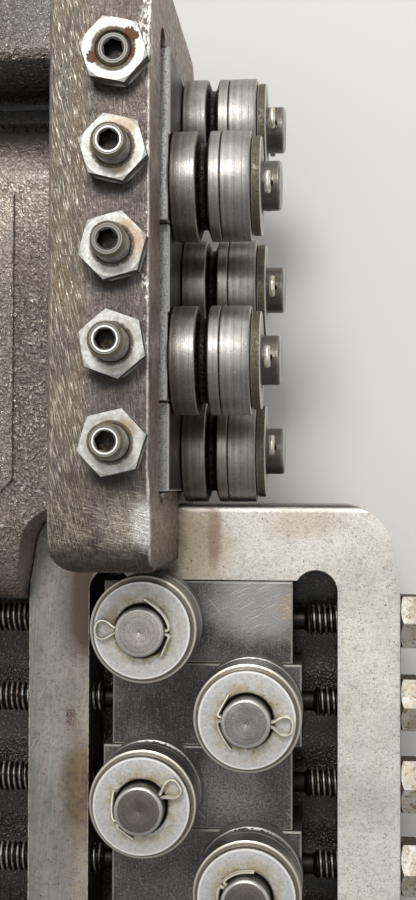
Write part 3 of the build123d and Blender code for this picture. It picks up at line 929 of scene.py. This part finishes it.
def copy_to(master, name, place, axis, spin=0.0):
    """Copies a piece that was made up the Z axis to its place, along another axis."""
    take(master)
    bpy.ops.object.duplicate()
    piece = bpy.context.object
    piece.name = name
    turn = UP.rotation_difference(axis).to_matrix().to_4x4()
    if axis == DOWN:
        turn = Matrix.Rotation(TURN / 2, 4, "X")
    piece.matrix_world = Matrix.Translation(place) @ turn @ Matrix.Rotation(spin, 4, "Z")
    bpy.ops.object.transform_apply()
    return piece


def join(pieces, name):
    """Joins pieces into one."""
    take(*pieces)
    bpy.ops.object.join()
    bpy.context.object.name = name
    return bpy.context.object


def dress(piece, finish):
    """Gives a piece its finish."""
    piece.data.materials.clear()
    piece.data.materials.append(finish.material)


def finish_piece(piece, finish, body, slot, *nodes):
    """Gives a piece its finish, its body and the CAD nodes that it stands for."""
    dress(piece, finish)
    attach(piece, body)
    if nodes:
        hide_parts(*nodes)


def far_end(node, axis):
    """The middle of a CAD node's end that lies furthest along an axis."""
    low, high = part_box(node)
    reach = (high - low).dot(Vector([abs(c) for c in axis])) / 2
    return (low + high) / 2 + axis * reach


class STRAIGHTENER_OT_castings(bpy.types.Operator):
    """Finish the bracket, the frames and the slides"""

    bl_idname = "straightener.castings"
    bl_label = "Finish castings and slides"

    def execute(self, context):
        nodes = frame["nodes"]
        dress(nodes["bracket"], sand_cast_iron())
        dress(nodes["upper_frame"], filed_cast_iron())
        dress(nodes["lower_frame"], surface_ground_iron())
        steel = ground_slide_steel()
        for unit, number in NUMBERED:
            dress(nodes[f"{unit}_slide_{number}"], steel)
        return {"FINISHED"}


class STRAIGHTENER_OT_rollers(bpy.types.Operator):
    """Turn the rollers, with their wire groove and parting line"""

    bl_idname = "straightener.rollers"
    bl_label = "Turn rollers"

    def execute(self, context):
        low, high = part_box("lower_roller_1")
        r = (high.x - low.x) / 2
        width = high.z - low.z
        running_gap = 0.03 * MM
        bore = sizes().pin_diameter / 2 + running_gap
        rounding, worn, lip, brink = 0.5 * MM, 0.15 * MM, 0.2 * MM, 0.05 * MM
        # Back flange, groove, front flange, parting line and band, from the slide outwards
        groove, groove_width, floor_width, depth = 7.1 * MM, 3.8 * MM, 1.2 * MM, 3.4 * MM
        flange, gap, gap_depth = 3.0 * MM, 0.3 * MM, 1.0 * MM
        floor = r - depth
        floor_start = groove + (groove_width - floor_width) / 2
        floor_end, groove_end = floor_start + floor_width, groove + groove_width
        parting = groove_end + flange
        master = lathe("roller", [
            (bore, 0), (r - rounding, 0), (r - worn, worn), (r, rounding),
            (r, groove - lip), (r - lip, groove + brink),
            (floor + lip, floor_start - lip), (floor, floor_start + lip),
            (floor, floor_end - lip), (floor + lip, floor_end + lip),
            (r - lip, groove_end - brink), (r, groove_end + lip),
            (r, parting - lip), (r - lip, parting), (r - gap_depth, parting),
            (r - gap_depth, parting + gap), (r - lip, parting + gap), (r, parting + gap + lip),
            (r, width - rounding), (r - worn, width - worn), (r - rounding, width),
            (bore, width), (bore, 0)], steps=96)
        steel = turned_roller_steel(r, width)
        for unit, number in NUMBERED:
            node, axis = f"{unit}_roller_{number}", PIN_AXIS[unit]
            piece = copy_to(master, f"{node}_turned", far_end(node, -axis), axis)
            finish_piece(piece, steel, node, "roller_steel", node)
        bpy.data.objects.remove(master)
        return {"FINISHED"}


class STRAIGHTENER_OT_pins(bpy.types.Operator):
    """Turn the roller pins and their washers"""

    bl_idname = "straightener.pins"
    bl_label = "Turn pins and washers"

    def pin(self):
        """A pin down the Z axis from its chamfered end at 0, drilled for its cotter pin."""
        size = sizes()
        low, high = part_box("lower_pin_1")
        length = high.z - low.z
        r, c = size.pin_diameter / 2, size.pin_chamfer
        pin = lathe("pin", [
            (0, -0.25 * MM), (0.35 * MM, -0.05 * MM), (0.5 * MM, 0), (r - 1.3 * c, 0),
            (r - 0.85 * c, -0.12 * c), (r - 0.35 * c, -0.5 * c), (r - 0.08 * c, -c),
            (r, -1.4 * c), (r, -length + c), (r - c, -length), (0, -length)])
        drill = size.cotter_hole / 2
        hole = lathe("cotter_drill", [(0, -r - MM), (drill, -r - MM), (drill, r + MM),
                                      (0, r + MM)], 24)
        cross = copy_to(hole, "cotter_hole", UP * (size.cotter_height - size.pin_end), RIGHT)
        bpy.data.objects.remove(hole)
        cut(pin, cross, "DIFFERENCE")
        return smooth(pin, TURNED_EDGE)

    def washer(self):
        """A washer with rounded rims, up the Z axis from 0."""
        size = sizes()
        outer, bore = size.washer_diameter / 2, size.washer_bore / 2
        t, b = size.washer_thickness, 0.35 * MM
        return lathe("washer", [
            (bore + b, t), (outer - 2.2 * b, t), (outer - 0.8 * b, t - 0.12 * b),
            (outer - 0.2 * b, t - 0.7 * b), (outer, t - 1.6 * b), (outer, b), (outer - b, 0),
            (bore + b, 0), (bore, b), (bore, t - b), (bore + b, t)], steps=96)

    def execute(self, context):
        size = sizes()
        pin, washer = self.pin(), self.washer()
        pin_steel = turned_pin_steel(size.pin_diameter / 2)
        washer_steel = punched_washer_steel(size.washer_bore / 2, size.washer_diameter / 2)
        for unit, number in NUMBERED:
            node, body, axis = f"{unit}_pin_{number}", f"{unit}_slide_{number}", PIN_AXIS[unit]
            end = far_end(node, axis)
            eye = math.radians(COTTERS[unit][number - 1][0])
            piece = copy_to(pin, f"{node}_turned", end, axis, eye)
            finish_piece(piece, pin_steel, body, "pin_steel", node)
            seat = end - axis * (size.pin_end + size.washer_thickness)
            ring = copy_to(washer, f"{unit}_washer_{number}", seat, axis)
            finish_piece(ring, washer_steel, body, "pin_steel", node)
        bpy.data.objects.remove(pin)
        bpy.data.objects.remove(washer)
        return {"FINISHED"}


class STRAIGHTENER_OT_cotters(bpy.types.Operator):
    """Bend the cotter pins through the roller pins"""

    bl_idname = "straightener.cotters"
    bl_label = "Bend cotter pins"

    def leg(self, side, wrap, stand_off):
        """Points of one leg, from the hole round the pin's side to its cut end."""
        r, w = sizes().pin_diameter / 2, sizes().cotter_wire / 2
        points = [(-r + MM, side * w), (-r - 0.6 * MM, side * w), (-r - 1.3 * MM, side * 1.9 * w)]
        for share, lift in ((0.35, 1.1), (0.65, 1.2), (1.0, stand_off)):
            angle = math.pi - side * math.radians(wrap) * share
            reach = r + lift * MM
            points.append((reach * math.cos(angle), reach * math.sin(angle)))
        return points

    def eye(self):
        """Points of the drop-shaped eye, from one side of the hole to the other."""
        size = sizes()
        r, w, long = size.pin_diameter / 2, size.cotter_wire / 2, size.cotter_eye
        half = [(r - MM, w), (r + 0.1 * long, w), (r + 0.42 * long, 4.2 * w),
                (r + 0.78 * long, 5.0 * w), (r + 1.02 * long, 3.0 * w)]
        return half + [(r + 1.04 * long, 0)] + [(x, -y) for x, y in reversed(half)]

    def wire(self, name, points):
        """A round wire along a soft curve through the points."""
        take()
        bpy.ops.curve.primitive_nurbs_path_add(location=(0, 0, 0))
        path = bpy.context.object
        path.name = name
        path.data.splines.clear()
        spline = path.data.splines.new("NURBS")
        spline.points.add(len(points) - 1)
        for i, (x, y) in enumerate(points):
            # The legs' ends are tapped down towards the washer
            ends = max(0, 3 - min(i, len(points) - 1 - i))
            spline.points[i].co = (x, y, -0.12 * MM * ends, 1)
        spline.order_u = 4
        spline.use_endpoint_u = True
        spline.resolution_u = 6
        path.data.dimensions = "3D"
        path.data.bevel_depth = sizes().cotter_wire / 2
        path.data.bevel_resolution = 3
        path.data.use_fill_caps = True
        bpy.ops.object.convert(target="MESH")
        return path

    def execute(self, context):
        size = sizes()
        steel = drawn_wire_steel()
        for unit, number in NUMBERED:
            eye_angle, wrap, other_wrap, stand_off = COTTERS[unit][number - 1]
            path = self.wire(f"{unit}_cotter_{number}", [
                *reversed(self.leg(1, wrap, stand_off)), *self.eye(),
                *self.leg(-1, other_wrap, stand_off)])
            # The wire is half round: wider along the roller pin than it is thick
            bpy.ops.transform.resize(value=(1, 1, size.cotter_width / size.cotter_wire))
            bpy.ops.object.transform_apply()
            bpy.ops.object.shade_smooth_by_angle(angle=math.radians(WIRE_EDGE))
            axis = PIN_AXIS[unit]
            sunk = size.cotter_height - size.pin_end
            seat = far_end(f"{unit}_pin_{number}", axis) + axis * sunk
            spin = math.radians(eye_angle)
            piece = copy_to(path, f"{unit}_cotter_pin_{number}", seat, axis, spin)
            bpy.data.objects.remove(path)
            finish_piece(piece, steel, f"{unit}_slide_{number}", "pin_steel")
        return {"FINISHED"}


class STRAIGHTENER_OT_screws(bpy.types.Operator):
    """Cut the threaded adjusting screws with their dog points and sockets"""

    bl_idname = "straightener.screws"
    bl_label = "Cut screws"

    def thread(self, length):
        """Winds a threaded rod round the Z axis, longer than the screw, with closed ends."""
        size = sizes()
        r, pitch = size.screw_diameter / 2, size.thread_pitch
        root, crest = r - size.thread_depth, r - 0.06 * MM
        bottom, top = -length - MM, MM
        ridge = ((root, 0), (crest, 0.3), (r, 0.36), (r, 0.5), (crest, 0.56), (root, 0.86),
                 (root, 1))
        piece = draw_profile("screw", [(radius, bottom - pitch + turn * pitch)
                                       for radius, turn in ridge])
        bpy.ops.object.mode_set(mode="OBJECT")
        modify("SCREW", screw_offset=pitch, iterations=math.ceil((top - bottom) / pitch) + 2,
               steps=24, render_steps=24)
        edit_all()
        bpy.ops.mesh.remove_doubles(threshold=0.005 * MM)
        for height, side in ((bottom, {"clear_inner": True}), (top, {"clear_outer": True})):
            edit_all()
            bpy.ops.mesh.bisect(plane_co=(0, 0, height), plane_no=(0, 0, 1), use_fill=True, **side)
        return close_shape(piece, THREAD_EDGE)

    def socket(self):
        """The hexagon that is pressed into a screw's end, countersunk at its mouth."""
        size = sizes()
        corner = size.socket_size / 2 / HEXAGON
        mouth, depth, over = corner + 0.25 * MM, 0.8 * MM, 0.3 * MM
        take()
        bpy.ops.mesh.primitive_circle_add(vertices=6, radius=corner, fill_type="NGON",
                                          location=(0, 0, -size.socket_depth))
        hexagon = bpy.context.object
        bpy.ops.object.transform_apply()
        edit_all()
        extrude((0, 0, size.socket_depth + over))
        close_shape(hexagon, THREAD_EDGE)
        cone = lathe("countersink", [(0, -depth), (mouth - depth, -depth), (mouth + over, over),
                                     (0, over)], 40)
        cut(hexagon, cone, "UNION")
        return hexagon

    def screw(self, length):
        """A set screw down the Z axis from its socket end at 0 to its plain point."""
        size = sizes()
        piece = self.thread(length)
        clear = size.screw_diameter / 2 + 0.2 * MM
        dog, tip = size.point_diameter / 2, 0.5 * MM
        shoulder = size.point_length - length
        face = size.screw_diameter / 2 - size.thread_depth - 0.05 * MM
        turned = lathe("turned_shape", [
            (0, -length), (dog - tip, -length), (dog, tip - length), (dog, shoulder),
            (clear, shoulder + clear - dog), (clear, face - clear), (face, 0), (0, 0)], steps=50)
        hexagon = self.socket()
        # Both are turned a little, so that their edges miss those of the thread
        turned.rotation_euler.z, hexagon.rotation_euler.z = OFF_THREAD
        cut(piece, turned, "INTERSECT")
        cut(piece, hexagon, "DIFFERENCE")
        return smooth(piece, THREAD_EDGE)

    def execute(self, context):
        size = sizes()
        steel = black_oxide_steel(size.screw_diameter / 2)
        for unit, number in NUMBERED:
            node, body, made = f"{unit}_screws_{number}", f"{unit}_slide_{number}", []
            name = f"{unit}_set_screws_{number}"
            for way, more in zip(SCREW_WAYS[unit], MORE_SPIN):
                end = far_end(node, way)
                master = self.screw((end - far_end(body, way)).dot(way) + size.point_seat)
                spin = math.radians(EACH_SPIN * number + more)
                made.append(copy_to(master, name, end, way, spin))
                bpy.data.objects.remove(master)
            finish_piece(join(made, name), steel, body, "screw_steel", node)
        return {"FINISHED"}


class STRAIGHTENER_OT_nuts(bpy.types.Operator):
    """Make the plated jam nuts with their corners turned off"""

    bl_idname = "straightener.nuts"
    bl_label = "Make jam nuts"

    def nut(self, thickness):
        """A hexagon cut from bar, with both faces turned down at the corners and a bore."""
        size = sizes()
        flat = size.nut_size / 2
        corner = flat / HEXAGON
        take()
        bpy.ops.mesh.primitive_cylinder_add(vertices=6, radius=corner, depth=thickness,
                                            location=(0, 0, thickness / 2))
        hexagon = bpy.context.object
        bpy.ops.object.transform_apply()
        # The outer face is turned down to a circle a little wider than the flats
        face, wide, slope = flat * 1.03, corner + MM, 0.5
        turned = lathe("turned_corners", [
            (0, -MM), (face - 2 * MM, -MM), (wide, 1.6 * MM),
            (wide, thickness - (wide - face) * slope), (face, thickness), (0, thickness)], 96)
        cut(hexagon, turned, "INTERSECT")
        r, c = size.nut_bore / 2, 0.3 * MM
        bore = lathe("bore", [(0, -MM), (r, -MM), (r, thickness - c), (r + 2 * c, thickness + c),
                              (0, thickness + c)], 48)
        cut(hexagon, bore, "DIFFERENCE")
        modify("BEVEL", width=0.12 * MM, segments=2, limit_method="ANGLE",
               angle_limit=math.radians(20))
        return smooth(hexagon, NUT_EDGE)

    def execute(self, context):
        zinc = zinc_plated_steel(sizes().nut_size / 2)
        low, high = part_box("lower_jam_nuts")
        master = self.nut(high.x - low.x)
        rows = (("upper_near_jam_nuts", UP, EDGE), ("upper_far_jam_nuts", DOWN, EDGE),
                ("lower_jam_nuts", RIGHT, FLAT))
        for node, way, unit in rows:
            seat, made = far_end(node, -way), []
            for number, turn in zip(NUMBERS, NUT_TURNS[node]):
                place = far_end(f"{unit}_screws_{number}", way)
                place += way * (seat - place).dot(way)
                spin = math.radians(30 + turn) * (-1 if way == DOWN else 1)
                made.append(copy_to(master, f"{node}_{number}", place, way, spin))
            finish_piece(join(made, f"{node}_plated"), zinc, "frames", "zinc_nut", node)
        bpy.data.objects.remove(master)
        return {"FINISHED"}


class STRAIGHTENER_OT_stage(bpy.types.Operator):
    """Set the floor, the soft lights and the camera"""

    bl_idname = "straightener.stage"
    bl_label = "Set stage"

    def execute(self, context):
        low, high = CAD_BOX
        middle = (low + high) / 2
        take()
        bpy.ops.mesh.primitive_plane_add(size=FLOOR_WIDTH, location=(middle.x, middle.y, 0))
        floor = bpy.context.object
        floor.name = "floor"
        dress(floor, Finish("matt_floor_paint", 0.0, Roughness=0.9, Base_Color=tone("floor")))
        for name, (spot, width, power) in LAMPS.items():
            bpy.ops.object.light_add(type="AREA", location=Vector(spot) + middle)
            lamp = bpy.context.object
            lamp.name = name
            lamp.data.size = width
            lamp.data.energy = power
            lamp.rotation_euler = (-Vector(spot)).to_track_quat("-Z", "Y").to_euler()
        world = bpy.context.scene.world or bpy.data.worlds.new("studio")
        context.scene.world = world
        world.use_nodes = True
        sky = world.node_tree.nodes["Background"].inputs
        sky["Color"].default_value = hex_colour(SKY)
        sky["Strength"].default_value = SKY_STRENGTH
        bpy.ops.object.camera_add(location=CAMERA_PLACE, rotation=CAMERA_TURN)
        camera = bpy.context.object
        camera.data.sensor_width = SENSOR
        camera.data.lens = FOCAL_PIXELS * SENSOR / IMAGE_HEIGHT
        camera.data.clip_start = 0.01
        context.scene.camera = camera
        context.scene.view_settings.view_transform = "Standard"
        return {"FINISHED"}


OPERATORS = (STRAIGHTENER_OT_castings, STRAIGHTENER_OT_rollers, STRAIGHTENER_OT_pins,
             STRAIGHTENER_OT_cotters, STRAIGHTENER_OT_screws, STRAIGHTENER_OT_nuts,
             STRAIGHTENER_OT_stage)


class STRAIGHTENER_PT_panel(bpy.types.Panel):
    """Lists the steps, sizes and colours of the wire straightener"""

    bl_idname = "STRAIGHTENER_PT_panel"
    bl_label = "Wire straightener"
    bl_space_type = "VIEW_3D"
    bl_region_type = "UI"
    bl_category = "Straightener"

    def draw(self, context):
        for operator in OPERATORS:
            self.layout.operator(operator.bl_idname)
        for group in (sizes(), colours()):
            box = self.layout.box()
            for name in group.__annotations__:
                box.prop(group, name)


CLASSES = (StraightenerSizes, StraightenerColours, *OPERATORS, STRAIGHTENER_PT_panel)


def register():
    for item in CLASSES:
        bpy.utils.register_class(item)
    bpy.types.Scene.straightener_sizes = bpy.props.PointerProperty(type=StraightenerSizes)
    bpy.types.Scene.straightener_colours = bpy.props.PointerProperty(type=StraightenerColours)


def unregister():
    del bpy.types.Scene.straightener_colours
    del bpy.types.Scene.straightener_sizes
    for item in reversed(CLASSES):
        bpy.utils.unregister_class(item)


def main():
    register()
    bpy.ops.straightener.castings()
    bpy.ops.straightener.rollers()
    bpy.ops.straightener.pins()
    bpy.ops.straightener.cotters()
    bpy.ops.straightener.screws()
    bpy.ops.straightener.nuts()
    bpy.ops.straightener.stage()


if __name__ == "__main__":
    main()
